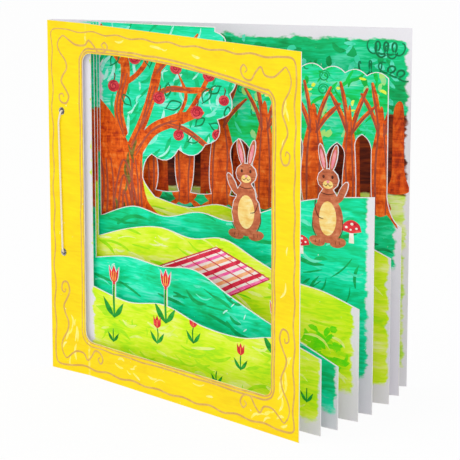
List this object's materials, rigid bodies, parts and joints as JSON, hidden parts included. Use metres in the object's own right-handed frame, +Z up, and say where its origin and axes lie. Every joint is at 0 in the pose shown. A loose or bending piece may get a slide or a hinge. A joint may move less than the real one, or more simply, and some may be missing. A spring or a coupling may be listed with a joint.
{
  "type": "diorama book",
  "caption": "Standing laced card book with a window cover, cut-out picture cards fanned behind it and a whole back card.",
  "frame": {"origin": "under the middle of the standing book, on the surface that it stands on", "axes": "+X from the laced spine along the front cover's panel, +Y from the front cover to the back cover, +Z up"},
  "size_m": [0.2772, 0.166, 0.27],
  "materials": {
    "yellow_card": "bright yellow poster paint on white card, satin",
    "lime_card": "lime green poster paint in brush strokes on white card",
    "teal_card": "teal green poster paint in brush strokes on white card",
    "tree_card": "green and orange brown poster paint on white card",
    "forest_card": "teal green and brown poster paint on white card",
    "white_card": "bare white card, matt",
    "cord": "thin white twisted cotton cord"
  },
  "bodies": {
    "laced_block": {"front_cover_margin": "yellow_card", "meadow_card": "lime_card", "low_hill_card": "teal_card", "field_card": "lime_card", "high_hill_card": "teal_card", "fruit_tree_card": "tree_card", "forest_card": "forest_card", "back_cover_margin": "white_card", "lacing_cord": "cord"},
    "front_panel": {"front_cover": "yellow_card"},
    "back_panel": {"back_cover": "white_card"}
  },
  "joints": [
    {"name": "front_cover_hinge", "type": "hinge", "parent": "laced_block", "child": "front_panel", "pos_m": [-0.09636, -0.07711, 0], "axis": [0, 0, 1], "range_deg": [-165, 4.5]},
    {"name": "back_cover_hinge", "type": "hinge", "parent": "laced_block", "child": "back_panel", "pos_m": [-0.10599, -0.05284, 0], "axis": [0, 0, 1], "range_deg": [-5.7, 160]}
  ]
}
